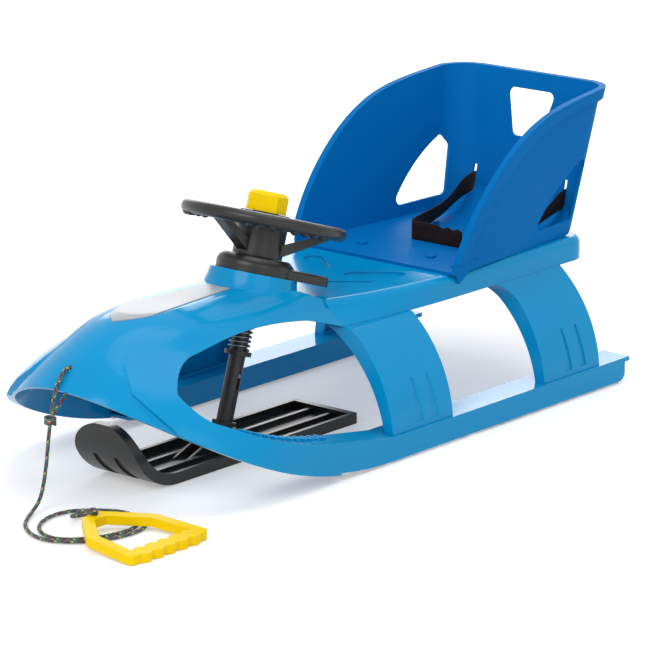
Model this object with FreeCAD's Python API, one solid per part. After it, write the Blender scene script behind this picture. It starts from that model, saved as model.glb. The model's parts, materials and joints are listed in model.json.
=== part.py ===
"""Child's plastic steering sled: hooded body on two runners, sprung steering ski, bucket seat and tow rope.

Millimetres. +Z is up, the nose points to -Y and the origin is on the ground under the middle of the sled.
A station is a distance behind the nose tip, so a feature's Y is at(station).
"""
import FreeCAD, Part
import math
import os

V = FreeCAD.Vector

# Body, overall
origin_station = 490.6
body_wall = 4.0
body_half_width = 208.0
bow_centre = 202.0
bow_reach = 232.0
bow_power = 3.2
dome_half_width = 112.0
dome_power = 6.0
dome_depth = 4.0
flank_power = 1.9
flank_blend = 1.3
hood_top = 222.0
crown_depth = 9.0
hull_bands = 20
keel_radius = 615.0
keel_start = 401.0
flare_depth = 8.0
flare_fade_low = 130.0
flare_fade_high = 190.0
flare_step_share = 0.12
fender_edge = [(84, 78), (53, 119), (41, 150), (60, 180), (112, 208)]

# Foot arch in the hood's side, as stations and heights
arch_sill_rear = 300.0
arch_sill_height = 52.0
arch_front = 85.0
arch_front_height = 147.0
arch_top_height = 189.0
ledge_depth = 42.0
grip_rib_height = 3.0
grip_rib_width = 4.0
grip_rib_length = 22.0
grip_rib_pitch = 13.0
grip_rib_count = 11

# Deck
deck_half_width = 134.0
deck_top = 198.0
deck_thickness = 32.0
deck_rear = 929.0
deck_corner = 38.0
deck_edge_round = 11.0
deck_edge_bands = 4
deck_plate = 7.0
waist_half_width = 84.0
waist_length = 210.0
waist_flare = 8.0

# Runners and their steel strips
runner_width = 47.0
runner_end_round = 12.0
runner_top = 35.0
runner_rear = 923.0
runner_overhang = 10.0
strip_width = 15.0
strip_thickness = 3.0
strip_inset = 1.5
foot_flange_width = 20.0
foot_flange_thickness = 4.0
rivet_radius = 2.5
rivet_head_radius = 4.5
rivet_head_height = 2.0
rivet_count = 5
fastener_clearance = 0.05

# Legs
front_leg_station = 409.0
rear_leg_station = 733.0
leg_length = 125.0
leg_foot_inset = 4.0
leg_foot_depth = 16.0
leg_middle_depth = 26.0
leg_top_depth = 44.0
leg_bulge_share = 0.657
leg_bulge_rise = 12.0
leg_dent_height = 56.0
leg_dent_width = 14.0
leg_dent_tip_width = 3.0
leg_dent_depth = 2.5
leg_dent_shares = (0.46, 0.71)
leg_web = 26.0

# Steering line
axis_station = 376.5
axis_height = 250.0
axis_lean = 17.5
hump_top_radius = 58.0
hump_base_radius = 88.0
hump_waist_share = 0.28
hump_depth = 60.0
hump_level = -24.0

# Steering base cover
base_radius = 51.0
base_top_radius = 42.0
base_rim_height = 6.0
base_height = 22.0
base_wall = 3.0
base_arm_reach = 82.0
base_arm_angle = 47.0
base_arm_radius = 16.0
base_arm_root_radius = 30.0
base_arm_root_reach = 30.0
base_arm_height = 13.0
base_arm_round = 4.0
base_channel_share = 0.4
base_screw_radius = 2.5
base_screw_room = 2.0
base_screw_head = 2.5

# Shaft, wheel and horn button
shaft_radius = 8.0
shaft_bottom = -196.0
running_clearance = 0.05
bush_radius = 17.0
bush_bottom = -62.0
bush_flange_radius = 26.0
bush_flange_thickness = 4.0
hub_radius = 33.0
hub_height = 54.0
hub_gap = 0.5
wheel_radius = 101.0
rim_radius = 9.0
rim_level = 46.0
grip_bump_radius = 6.0
grip_bump_count = 8
spoke_width = 18.0
spoke_thickness = 8.0
nut_across = 24.0
nut_height = 8.0
button_radius = 28.0
button_height = 27.0
button_wall = 3.0
button_facets = 8
button_travel = 4.0
button_chamfer = 5.0
bezel_radius = 33.0
bezel_height = 4.0
bellows_radius = 17.0

# Column, spring and ski
column_radius = 11.0
column_top = -90.0
suspension_travel = 15.0
collar_radius = 18.0
collar_thickness = 6.0
collar_level = -130.0
pin_radius = 2.5
pin_level = -160.0
spring_mean_radius = 13.4
spring_wire_radius = 1.4
spring_turns = 10.5
ski_rear = 516.0
ski_half_width = 54.0
ski_bend_station = 160.0
ski_bend_radius = 84.0
ski_bend_angle = 92.0
ski_floor = 5.0
ski_rim_width = 6.0
ski_rim_height = 15.0
ski_rib_width = 6.0
ski_rib_height = 11.0
socket_radius = 16.0
socket_top = -221.0
column_bottom = -248.0
gusset_reach = 85.0
gusset_thickness = 4.0
gusset_offset = 11.0
ski_tip_round = 46.0
ski_groove_width = 14.0
ski_groove_depth = 2.5
ski_groove_share = 0.66
ski_rear_rim = 10.0
column_bolt_radius = 3.0
column_bolt_room = 17.0

# Seat
seat_front = 614.0
seat_wall = 4.0
seat_half_width = 143.0
seat_back_half_width = 118.0
seat_side_lean = 0.094
seat_tub_start = 570.0
seat_height = 402.0
seat_back_station = 944.0
seat_back_lean = 12.0
seat_heel_radius = 60.0
seat_corner_radius = 46.0
seat_lip = 6.0
seat_lip_height = 15.0
seat_tab_drop = 14.0
wing_window_corners = [(806, 218), (911, 220), (928, 290), (917, 307)]
wing_window_bow = (852, 268)
wing_foot_height = 8.0
wing_rim = [(24, 148), (66, 95), (116, 53), (178, 22), (250, 7), (322, 0)]
window_round = 9.0
back_window_drop = 24.0
back_window_height = 66.0
back_window_top_half = 42.0
back_window_low_half = 24.0
slot_offset = 80.0
slot_width = 6.0
slot_bottom = 226.0
slot_top = 264.0
strap_width = 26.0
strap_thickness = 2.0
belt_end_length = 90.0
belt_end_thickness = 5.0
left_strap_rows = [(-82, 940, 245, 90), (-82, 925, 243, 90), (-77, 895, 233, 75), (-67, 865, 225, 60),
                   (-55, 825, 221, 50), (-43, 785, 219, 55), (-34, 752, 217, 75), (-28, 733, 215.4, 90)]
right_strap_rows = [(82, 940, 245, 90), (82, 925, 242, 90), (85, 895, 229, 70), (88, 865, 219, 50),
                    (88, 835, 214, 30), (84, 800, 209, 20), (80, 765, 206, 10)]
soft_gap = 0.3
seat_bolt_radius = 3.0
seat_bolt_head = 7.0
seat_bolt_inset = 60.0

# Nose panel
panel_thickness = 2.0
panel_front = 100.0
panel_rear = 312.0
panel_half_width = 31.0
panel_tail_half_width = 18.0
panel_gap = 0.2
panel_bend = 16.0
panel_bend_share = 0.58
panel_shoulder = 62.0
panel_tail_gap = 7.0

# Tow rope and handle
rope_radius = 2.6
rope_hole_radius = 4.0
knot_radius = 8.5
tie_radius = 6.0
handle_station = -53.0
handle_rope_x = 111.0
handle_rope_half = 14.0
handle_bend_x = 157.0
handle_bend_half = 54.0
handle_grip_x = 228.0
handle_grip_half = 62.0
handle_bar_width = 15.0
handle_thickness = 12.0
handle_bump_radius = 12.0
handle_tip = 4.1
grip_bumps = 5

hood_rear = front_leg_station
bow_half_width = body_half_width - flare_depth
runner_outer = body_half_width
leg_foot_outer = body_half_width - leg_foot_inset
leg_bulge = deck_half_width + leg_bulge_share * (leg_foot_outer - deck_half_width)
runner_inner = runner_outer - runner_width
deck_under = deck_top - deck_thickness
body_reach = 2 * bow_half_width
lean = math.radians(axis_lean)


def at(station):
    """Y of a station behind the nose tip."""
    return station - origin_station


def line(a, b):
    return Part.LineSegment(a, b).toShape()


def arc(a, b, c):
    return Part.Arc(a, b, c).toShape()


def closed_face(edges):
    return Part.Face(Part.Wire(edges))


def polygon(points):
    """Face inside a closed run of straight edges."""
    return Part.Face(Part.makePolygon(points + [points[0]]))


def box(x, y, z):
    """Box from three pairs of limits."""
    size = [limit[1] - limit[0] for limit in (x, y, z)]
    return Part.makeBox(size[0], size[1], size[2], V(x[0], y[0], z[0]))


def side_prism(edges, x_from, x_to):
    """Solid of a side outline, drawn in the plane X = 0, between two X values."""
    face = closed_face(edges)
    face.translate(V(x_from, 0, 0))
    return face.extrude(V(x_to - x_from, 0, 0))


def side(station, height):
    return V(0, at(station), height)


def mirrored(shape):
    return shape.mirror(V(0, 0, 0), V(1, 0, 0))


def both(shape):
    return [shape, mirrored(shape)]


def fused(shapes):
    result = shapes[0].multiFuse(shapes[1:])
    return result.removeSplitter()


def cylinder(radius, low, high):
    """Upright cylinder on the local axis."""
    return Part.makeCylinder(radius, high - low, V(0, 0, low))


def tube(outer, inner, low, high):
    return cylinder(outer, low, high).cut(cylinder(inner, low - 1, high + 1))


def steer(shape):
    """Places a shape, built on an upright local axis, on the leaning steering line."""
    placed = shape.copy()
    placed.rotate(V(0, 0, 0), V(1, 0, 0), -axis_lean)
    placed.translate(V(0, at(axis_station), axis_height))
    return placed


def export(name, shape):
    os.makedirs("parts", exist_ok=True)
    shape.exportStep("parts/" + name + ".step")


def group(shapes):
    return Part.makeCompound(shapes)


# Body

def hull_reach(height):
    """Reach of the hood ahead of the bow's centre at a height."""
    share = height / (hood_top + crown_depth)
    return bow_reach * math.sqrt(1 - share ** bow_power)


def hull_half(height):
    """Half width of the hood at a height: a narrow dome, and flanks that swell below the foot arch's top."""
    dome = dome_half_width * math.sqrt(1 - (height / (hood_top + dome_depth)) ** dome_power)
    climb = max(0.0, height - arch_sill_height) / (arch_top_height - arch_sill_height)
    swell = max(0.0, 1 - climb ** flank_power)
    return dome + (bow_half_width - dome_half_width) * swell ** flank_blend


def bow_wire(reach, half, level, past):
    """Level outline of the hood: half an ellipse at the bow, then straight sides back to the deck."""
    rear = at(hood_rear) + past
    middle = at(bow_centre)
    nose = middle - reach
    poles = [V(-half, middle, level), V(-half, nose, level), V(0, nose, level), V(half, nose, level),
             V(half, middle, level)]
    corner = math.sqrt(0.5)
    bow = Part.BSplineCurve()
    bow.buildFromPolesMultsKnots(poles, [3, 2, 3], [0.0, 0.5, 1.0], False, 2, [1, corner, 1, corner, 1])
    return Part.Wire([
        line(V(-half, rear, level), poles[0]),
        bow.toShape(),
        line(poles[-1], V(half, rear, level)),
        line(V(half, rear, level), V(-half, rear, level)),
    ])


def hull(grow, bulge=0.0, past=0.0):
    """Hood as one solid of level bands. A bulge, for the fender, fades to a thin step upward."""
    wires = []
    for band in range(hull_bands + 1):
        height = hood_top * math.sin(math.pi / 2 * band / hull_bands)
        fade = (flare_fade_high - height) / (flare_fade_high - flare_fade_low)
        extra = grow + bulge * min(1.0, max(flare_step_share, fade))
        level = height + grow * height / hood_top
        if band == 0:
            level -= past
        wires.append(bow_wire(hull_reach(height) + extra, hull_half(height) + extra, level, past))
    return Part.makeLoft(wires, True, True)


def below_keel(lift):
    """Everything under the keel line, raised by a distance."""
    reach = deck_rear
    radius = keel_radius - lift
    centre = side(keel_start, keel_radius)
    end_angle = math.asin(keel_start / keel_radius) + 0.05

    def on_arc(angle):
        return centre + V(0, -radius * math.sin(angle), -radius * math.cos(angle))

    tip = on_arc(end_angle)
    edges = [
        line(side(reach, -10), side(reach, lift)),
        line(side(reach, lift), on_arc(0)),
        arc(on_arc(0), on_arc(end_angle / 2), tip),
        line(tip, V(0, tip.y, -10)),
        line(V(0, tip.y, -10), side(reach, -10)),
    ]
    return side_prism(edges, -body_reach, body_reach)


def hood_roof(drop):
    """Space under the hood's roof line, which falls to the deck behind the hump."""
    fall = side(hood_rear - 64, hood_top - drop)
    end = side(hood_rear, deck_top - drop)
    middle = side(hood_rear - 23, hood_top - 13 - drop)
    edges = [
        line(side(-20, -10), side(-20, hood_top + 20)),
        line(side(-20, hood_top + 20), side(hood_rear - 64, hood_top + 20)),
        line(side(hood_rear - 64, hood_top + 20), fall),
        arc(fall, middle, end),
        line(end, side(hood_rear, -10)),
        line(side(hood_rear, -10), side(-20, -10)),
    ]
    return side_prism(edges, -body_reach, body_reach)


def hump(shrink):
    """Mound that carries the steering base, square to the steering line; its tail sits on the deck."""
    level = hump_level - shrink
    low = level - hump_depth
    waist = hump_top_radius + hump_waist_share * (hump_base_radius - hump_top_radius) - shrink
    base = V(hump_base_radius - shrink, 0, low)
    rim = V(hump_top_radius - shrink, 0, level)
    face = closed_face([
        line(V(0, 0, low), base), arc(base, V(waist, 0, (low + level) / 2), rim),
        line(rim, V(0, 0, level)), line(V(0, 0, level), V(0, 0, low)),
    ])
    mound = face.revolve(V(0, 0, 0), V(0, 0, 1), 360)
    wide = (-body_reach, body_reach)
    ahead = box(wide, (at(0), at(hood_rear)), (deck_top - 2 * body_wall, hood_top + 100))
    behind = box(wide, (at(hood_rear), at(deck_rear)), (deck_top, hood_top + 100))
    return steer(mound).common(ahead.fuse(behind))


sill_front = side(115, 109)
sill_edge = arc(side(arch_sill_rear, arch_sill_height), side(200, 74), sill_front)
sill_circle = sill_edge.Curve


def sill_height(station):
    """Height of the foot arch's lower edge over its long front arc."""
    centre = sill_circle.Center
    ahead = at(station) - centre.y
    return centre.z - math.sqrt(sill_circle.Radius ** 2 - ahead ** 2)


def arch_outline():
    """Edges of the foot arch, from the sill round the front, along the top and down past the leg."""
    front = side(arch_front, arch_front_height)
    top_front = side(150, arch_top_height - 8)
    top_rear = side(hood_rear - 50, arch_top_height - 7)
    shoulder = side(hood_rear - 2, deck_under + 2)
    behind = side(hood_rear + 5, deck_under + 2)
    return [
        sill_edge,
        arc(sill_front, side(90, 130), front),
        arc(front, side(106, 166), top_front),
        arc(top_front, side(250, arch_top_height), top_rear),
        arc(top_rear, side(hood_rear - 22, arch_top_height - 15), shoulder),
        line(shoulder, behind),
        line(behind, side(hood_rear + 5, -10)),
        line(side(hood_rear + 5, -10), side(arch_sill_rear, -10)),
        line(side(arch_sill_rear, -10), side(arch_sill_rear, arch_sill_height)),
    ]


def flare_region():
    """Side outline of the raised fender round the foot arch, with its crisp front edge."""
    low, bend, front, shoulder, top = [side(*spot) for spot in fender_edge]
    under = V(0, low.y, -body_wall)
    top_rear = side(hood_rear, fender_edge[-1][1])
    low_rear = side(hood_rear, -body_wall)
    edges = [
        line(low_rear, under),
        line(under, low),
        arc(low, bend, front),
        arc(front, shoulder, top),
        line(top, top_rear),
        line(top_rear, low_rear),
    ]
    return side_prism(edges, -body_reach, body_reach)


def sill_ledge():
    """Flat foot rest inside the arch's lower edge, with anti-slip ribs, on both sides."""
    centre = sill_circle.Center
    lower = []
    for point in (side(arch_sill_rear, arch_sill_height), side(200, sill_height(200)), sill_front):
        outward = (point - centre).normalize()
        lower.append(point + outward * body_wall)
    edges = [
        sill_edge,
        line(sill_front, lower[2]),
        arc(lower[2], lower[1], lower[0]),
        line(lower[0], side(arch_sill_rear, arch_sill_height)),
    ]
    band = side_prism(edges, -body_reach, body_reach)
    reach = hull_reach(arch_sill_height) - ledge_depth
    half = hull_half(arch_sill_height) - ledge_depth
    inside = Part.Face(bow_wire(reach, half, 0, 0)).extrude(V(0, 0, hood_top))
    return band.common(hull(-body_wall / 2)).cut(inside)


def grip_ribs():
    """Row of small ribs across each foot rest."""
    ribs = []
    for index in range(grip_rib_count):
        station = arch_sill_rear - 8 - index * grip_rib_pitch
        top = sill_height(station) + grip_rib_height
        ahead = max(0.0, bow_centre - station)
        wall = hull_half(top) * math.sqrt(1 - (ahead / hull_reach(top)) ** 2)
        inner = wall - ledge_depth + 8
        along = (at(station), at(station) + grip_rib_width)
        rib = box((inner, inner + grip_rib_length), along, (top - 2 * grip_rib_height, top))
        ribs += both(rib)
    return ribs


def panel_prism(margin, tail_margin):
    """Upright prism of the nose panel's outline, grown by margins all round and at its tail."""
    wide = panel_half_width + margin
    tail = panel_tail_half_width + margin
    tip = at(panel_front - margin)
    end = at(panel_rear + tail_margin)
    edges = []
    for sign in (1, -1):
        bend = V(sign * wide * panel_bend_share, at(panel_front + panel_bend), 0)
        shoulder = V(sign * wide, at(panel_front + panel_shoulder), 0)
        tail_side = V(sign * tail, end - tail / 2, 0)
        edges.append(arc(V(0, tip, 0), bend, shoulder))
        edges.append(line(shoulder, tail_side))
        edges.append(line(tail_side, V(sign * tail / 2, end, 0)))
    edges.append(line(V(tail / 2, end, 0), V(-tail / 2, end, 0)))
    face = Part.Face(Part.Wire(Part.__sortEdges__(edges)))
    face.translate(V(0, 0, deck_top))
    return face.extrude(V(0, 0, hood_top))


def rope_hole():
    """Slanted hole for the tow rope through the nose."""
    return Part.makeCylinder(rope_hole_radius, 40, V(0, at(2), 185), V(0, 0.837, -0.545))


def make_nose_hood():
    fender = flare_region()
    recess = panel_prism(panel_gap, panel_tail_gap).cut(hull(-panel_thickness / 2))
    outer = hull(0).cut(fender).fuse(hull(0, flare_depth).common(fender))
    outer = outer.common(hood_roof(0)).cut(recess).fuse(hump(0))
    inner = hull(-body_wall, 0, body_wall).common(hood_roof(body_wall)).fuse(hump(body_wall))
    shell = outer.cut(inner)
    openings = [below_keel(0), side_prism(arch_outline(), -body_reach, body_reach), rope_hole()]
    openings.append(steer(cylinder(bush_radius + fastener_clearance, -140, 60)))
    openings += [steer(hole) for hole in base_screw_posts(base_screw_radius + fastener_clearance, -40, 10)]
    shell = shell.cut(group(openings))
    ledge = sill_ledge().fuse(grip_ribs()).cut(below_keel(0))
    return largest(shell.fuse(ledge).removeSplitter())


def largest(shape):
    """The largest solid of a shape."""
    return max(shape.Solids, key=lambda solid: solid.Volume)


def make_nose_panel():
    skin = hull(panel_thickness / 2).cut(hull(-panel_thickness / 2))
    return largest(skin.common(panel_prism(0, 0)).cut(hump(-panel_gap)))


# Deck

def deck_outline(front_half, half, inset, draw_in, level):
    """Plan of the deck at a level: a waist at the front, straight sides and rounded rear corners."""
    front = at(hood_rear) + inset
    rear = at(deck_rear) - inset - draw_in
    front_side = front_half - inset - draw_in
    side_half = half - inset - draw_in
    corner = deck_corner - inset - draw_in
    cut = corner * (1 - math.sqrt(0.5))
    waist_end = at(hood_rear + waist_length)
    waist_middle = at(hood_rear + waist_length * 0.4)
    edges = []
    for sign in (1, -1):
        start = V(sign * front_side, front, level)
        middle = V(sign * (front_side + (side_half - front_side) * 0.62), waist_middle, level)
        flank = V(sign * side_half, waist_end, level)
        turn_in = V(sign * side_half, rear - corner, level)
        turn_middle = V(sign * (side_half - cut), rear - cut, level)
        turn_out = V(sign * (side_half - corner), rear, level)
        edges += [arc(start, middle, flank), line(flank, turn_in), arc(turn_in, turn_middle, turn_out)]
    edges.append(line(V(side_half - corner, rear, level), V(corner - side_half, rear, level)))
    edges.append(line(V(front_side, front, level), V(-front_side, front, level)))
    return Part.Wire(Part.__sortEdges__(edges))


def deck_block(inset, low, high):
    """Deck as a solid whose sides lean out below the waist, with a round top edge made of bands."""
    flank_front = (waist_half_width + deck_half_width) / 2 + waist_flare
    wires = [deck_outline(flank_front, deck_half_width, inset, 0, low)]
    for band in range(deck_edge_bands + 1):
        turn = math.pi / 2 * band / deck_edge_bands
        draw_in = deck_edge_round * (1 - math.cos(turn))
        level = high - deck_edge_round * (1 - math.sin(turn))
        wires.append(deck_outline(waist_half_width + deck_edge_round, deck_half_width, inset, draw_in, level))
    return Part.makeLoft(wires, True, True)


def drop_mark(length, radius, x, station, turn, depth):
    """Rounded recess in the deck's top, turned about Z."""
    mark = box((-length / 2, length / 2), (-radius, radius), (0, depth * 2))
    for end in (-length / 2, length / 2):
        mark = mark.fuse(Part.makeCylinder(radius, depth * 2, V(end, 0, 0)))
    mark.rotate(V(0, 0, 0), V(0, 0, 1), turn)
    mark.translate(V(x, at(station), deck_top - depth))
    return mark


def seat_bolt_spots():
    """Centres of the four seat bolts."""
    spots = []
    for x in (-seat_bolt_inset, seat_bolt_inset):
        for station in (seat_front + 50, seat_front + 210):
            spots.append(V(x, at(station), 0))
    return spots


def make_deck():
    outer = deck_block(0, deck_under, deck_top)
    deck = outer.cut(deck_block(body_wall, deck_under - 1, deck_top - deck_plate))
    marks = both(drop_mark(56, 13, 50, 556, 40, 4)) + both(drop_mark(54, 3.5, 51, 504, 40, 3))
    holes = [Part.makeCylinder(seat_bolt_radius + fastener_clearance, 60, spot + V(0, 0, deck_under))
             for spot in seat_bolt_spots()]
    return deck.cut(group(marks + holes))


# Legs

def leg_skin(inset):
    """Three points of a leg's splayed skin, from the deck to the foot, moved inward."""
    level = (deck_under + runner_top) / 2 + leg_bulge_rise
    return [V(deck_half_width - inset, 0, deck_under), V(leg_bulge - inset, 0, level),
            V(leg_foot_outer - inset, 0, runner_top)]


def leg_between(skin, inner, station, length):
    """Solid between two curved lines of a leg's cross-section, over a length from a station."""
    face = closed_face([arc(*skin), line(skin[2], inner[2]), arc(*inner[::-1]), line(inner[0], skin[0])])
    face.translate(V(0, at(station), 0))
    return face.extrude(V(0, length, 0))


def leg_dents(station):
    """Two shallow tapering flutes in the skin at the foot."""
    layer = leg_between(leg_skin(-1), leg_skin(leg_dent_depth), station, leg_length)
    low = runner_top + leg_dent_width / 2
    outlines = []
    for share in leg_dent_shares:
        middle = station + leg_length * share
        corners = []
        for half, height in ((leg_dent_width / 2, low), (leg_dent_tip_width / 2, low + leg_dent_height)):
            corners += [side(middle - half, height), side(middle + half, height)]
        face = polygon([corners[0], corners[1], corners[3], corners[2]])
        outlines.append(face.extrude(V(body_reach, 0, 0)))
    return layer.common(group(outlines))


def leg_outline(station, web):
    """Side outline of a leg, with a hollow-curved web at its front under the deck."""
    rear = station + leg_length
    edges = [
        line(side(station, runner_top), side(rear, runner_top)),
        line(side(rear, runner_top), side(rear, deck_under)),
        line(side(rear, deck_under), side(station - web, deck_under)),
    ]
    low = side(station, deck_under - web)
    if web:
        bend = web * (1 - math.sqrt(0.5))
        edges.append(arc(side(station - web, deck_under), side(station - bend, deck_under - bend), low))
    edges.append(line(low, side(station, runner_top)))
    return side_prism(edges, 0, body_reach)


def make_leg(station, web):
    """Right leg as a channel, open on its inner side, with two dents at the foot."""
    skin = leg_skin(0)
    depths = (leg_top_depth, leg_middle_depth, leg_foot_depth)
    inner = [point - V(depth, 0, 0) for point, depth in zip(skin, depths)]
    leg = leg_between(skin, inner, station - web, leg_length + web).common(leg_outline(station, web))
    hollow = leg_between(leg_skin(body_wall), leg_skin(2 * leg_top_depth), station + body_wall,
                         leg_length - 2 * body_wall)
    room = box((0, body_reach), (at(station), at(station) + leg_length),
               (runner_top + body_wall, deck_under - body_wall))
    return largest(leg.cut(hollow.common(room)).cut(leg_dents(station)))


# Runners

def runner_outline(lift_bottom, drop_top, front, rear):
    """Side outline of a runner between its keel line and its top line."""
    radius = keel_radius - lift_bottom
    centre = side(keel_start, keel_radius)
    angle = math.asin((keel_start - front) / radius)

    def on_arc(share):
        return centre + V(0, -radius * math.sin(angle * share), -radius * math.cos(angle * share))

    top_front = side(front, arch_sill_height - drop_top)
    ramp_end = side(front_leg_station, runner_top - drop_top)
    return [
        line(side(rear, lift_bottom), on_arc(0)),
        arc(on_arc(0), on_arc(0.5), on_arc(1)),
        line(on_arc(1), top_front),
        line(top_front, ramp_end),
        line(ramp_end, side(rear, runner_top - drop_top)),
        line(side(rear, runner_top - drop_top), side(rear, lift_bottom)),
    ]


def rivet_stations():
    first = keel_start + 30
    last = runner_rear - 50
    return [first + (last - first) * index / (rivet_count - 1) for index in range(rivet_count)]


def strip_middle():
    return runner_outer - strip_inset - strip_width / 2


def rivet_posts(radius, low, high):
    """Upright cylinders at the right strip's rivets."""
    return [Part.makeCylinder(radius, high - low, V(strip_middle(), at(station), low))
            for station in rivet_stations()]


def make_runner():
    """Right runner: inverted channel with a foot flange that carries the strip."""
    end = runner_rear - runner_overhang
    whole = side_prism(runner_outline(strip_thickness, 0, arch_sill_rear, end), runner_inner, runner_outer)
    plate = box((runner_inner, runner_outer), (at(end) - 1, at(runner_rear)), (runner_top - 6, runner_top))
    lift = strip_thickness + foot_flange_thickness
    hollow_low = side_prism(runner_outline(lift, 6, arch_sill_rear - 1, end - runner_end_round),
                            runner_inner + body_wall, runner_outer - body_wall)
    slot = box((runner_inner + body_wall, runner_outer - foot_flange_width),
               (at(arch_sill_rear + 40), at(end - runner_end_round)), (-1, lift + 1))
    turn = runner_end_round
    corner = box((runner_inner, runner_outer), (at(end - turn), at(end)), (0, strip_thickness + turn))
    axle = V(runner_inner, at(end - turn), strip_thickness + turn)
    corner = corner.cut(Part.makeCylinder(turn, runner_width, axle, V(1, 0, 0)))
    runner = whole.cut(corner).fuse(plate).cut(hollow_low).cut(slot)
    runner = runner.cut(group(rivet_posts(rivet_radius + fastener_clearance, -1, lift + 1)))
    return runner.removeSplitter()


def make_strip():
    """Right steel strip, flat under the runner and curved up with its front."""
    outer = strip_middle() + strip_width / 2
    front = arch_sill_rear
    rear = runner_rear - runner_overhang - runner_end_round
    low = side_prism(runner_outline(0, 0, front, rear), outer - strip_width, outer)
    over = runner_outline(strip_thickness, -1, front - 1, rear + 1)
    high = side_prism(over, outer - strip_width - 1, outer + 1)
    strip = low.cut(high)
    return strip.cut(group(rivet_posts(rivet_radius + fastener_clearance, -1, strip_thickness + 1)))


def make_rivets():
    """Rivets of both strips, with their heads on the foot flange."""
    seat = strip_thickness + foot_flange_thickness
    right = []
    for shank, head in zip(rivet_posts(rivet_radius, 0.3, seat),
                           rivet_posts(rivet_head_radius, seat, seat + rivet_head_height)):
        right.append(shank.fuse(head).removeSplitter())
    return group(right + [mirrored(rivet) for rivet in right])


# Steering, built on its upright local axis

def base_screw_circle():
    """Radius of the screw circle, clear of the wheel's hub."""
    return hub_radius + 2 * base_screw_radius + base_screw_room


def base_screw_posts(radius, low, high):
    """Four cylinders on the base cover's screw circle."""
    posts = []
    for index in range(4):
        angle = math.radians(45 + 90 * index)
        centre = V(base_screw_circle() * math.cos(angle), base_screw_circle() * math.sin(angle), low)
        posts.append(Part.makeCylinder(radius, high - low, centre))
    return posts


def base_arm(sign):
    """Swept rear arm of the base cover: a tapering tongue with a round end and a channel in its top."""
    turn = math.radians(base_arm_angle)
    along = V(sign * math.sin(turn), math.cos(turn), 0)
    across = V(-along.y, along.x, 0)
    foot = V(0, 0, hump_level)
    root = foot + along * base_arm_root_reach
    tip = foot + along * base_arm_reach
    wide = across * base_arm_root_radius
    narrow = across * base_arm_radius
    face = closed_face([
        line(root - wide, root + wide), line(root + wide, tip + narrow),
        arc(tip + narrow, tip + along * base_arm_radius, tip - narrow), line(tip - narrow, root - wide),
    ])
    arm = face.extrude(V(0, 0, base_arm_height))
    top = [edge for edge in arm.Edges if edge.BoundBox.ZMin > hump_level + base_arm_height - 0.1]
    arm = arm.makeFillet(base_arm_round, top)
    rise = V(0, 0, base_arm_height - base_wall)
    thin = across * (base_channel_share * base_arm_radius)
    channel = polygon([tip + rise + thin, tip + rise - thin, root + rise - thin, root + rise + thin])
    return arm.cut(channel.extrude(V(0, 0, base_arm_height)))


def base_top():
    return hump_level + base_height


def base_dome():
    """Base cover's body: a low rim, a round shoulder and a flat top, turned about the steering line."""
    rim = V(base_radius, 0, hump_level + base_rim_height)
    shoulder = V(base_top_radius, 0, base_top())
    middle = V(base_radius - 0.3 * (base_radius - base_top_radius), 0,
               rim.z + 0.7 * (shoulder.z - rim.z))
    foot = V(base_radius, 0, hump_level)
    face = closed_face([
        line(V(0, 0, hump_level), foot), line(foot, rim), arc(rim, middle, shoulder),
        line(shoulder, V(0, 0, base_top())), line(V(0, 0, base_top()), V(0, 0, hump_level)),
    ])
    return face.revolve(V(0, 0, 0), V(0, 0, 1), 360)


def make_base():
    body = base_dome().fuse([base_arm(1), base_arm(-1)]).removeSplitter()
    roof = base_top() - base_wall
    hollow = cylinder(base_top_radius - base_wall, hump_level - 1, roof)
    posts = group(base_screw_posts(base_screw_radius + base_wall, hump_level, roof))
    body = body.cut(hollow).fuse(posts).removeSplitter()
    holes = base_screw_posts(base_screw_radius + fastener_clearance, hump_level - 1, roof)
    bore = cylinder(shaft_radius + 1, hump_level - 1, base_top() + 1)
    return steer(body.cut(group(holes + [bore])))


def make_base_screws():
    """Screws driven from inside the hood up into the base cover's posts."""
    under = hump_level - body_wall
    heads = base_screw_posts(base_screw_radius * 2, under - base_screw_head, under)
    shanks = base_screw_posts(base_screw_radius, under, base_top() - base_wall)
    return group([steer(shank.fuse(head).removeSplitter()) for shank, head in zip(shanks, heads)])


def make_bush():
    """Bearing sleeve through the hump, with a flange under the hump's plate."""
    top = hump_level - body_wall
    sleeve = cylinder(bush_radius, bush_bottom, hump_level)
    flange = cylinder(bush_flange_radius, top - bush_flange_thickness, top)
    bore = cylinder(shaft_radius + running_clearance, bush_bottom - 1, hump_level + 1)
    return steer(sleeve.fuse(flange).cut(bore).removeSplitter())


def hub_base():
    """Level of the wheel hub's lower face, just over the base cover."""
    return base_top() + hub_gap


def hub_top():
    return hub_base() + hub_height


def nut_seat():
    return hub_top() - 12


def shaft_top():
    return nut_seat() + nut_height


def make_shaft():
    shaft = cylinder(shaft_radius, shaft_bottom, shaft_top())
    pin = Part.makeCylinder(pin_radius + fastener_clearance, 60, V(-30, 0, pin_level), V(1, 0, 0))
    return steer(shaft.cut(pin))


def make_pin():
    length = 2 * (column_radius - 0.5)
    return steer(Part.makeCylinder(pin_radius, length, V(-length / 2, 0, pin_level), V(1, 0, 0)))


def spoke(angle):
    """Dished spoke from the hub's lower part up to the rim."""
    rise = rim_level - hub_base() - 6
    outline = [
        V(hub_radius - 6, -spoke_width / 2, hub_base() + 2),
        V(wheel_radius - 2, -spoke_width / 2, hub_base() + 2 + rise),
        V(wheel_radius - 2, -spoke_width / 2, hub_base() + 2 + rise + spoke_thickness),
        V(hub_radius - 6, -spoke_width / 2, hub_base() + 2 + 2 * spoke_thickness),
    ]
    bar = polygon(outline).extrude(V(0, spoke_width, 0))
    bar.rotate(V(0, 0, 0), V(0, 0, 1), angle)
    return bar


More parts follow.
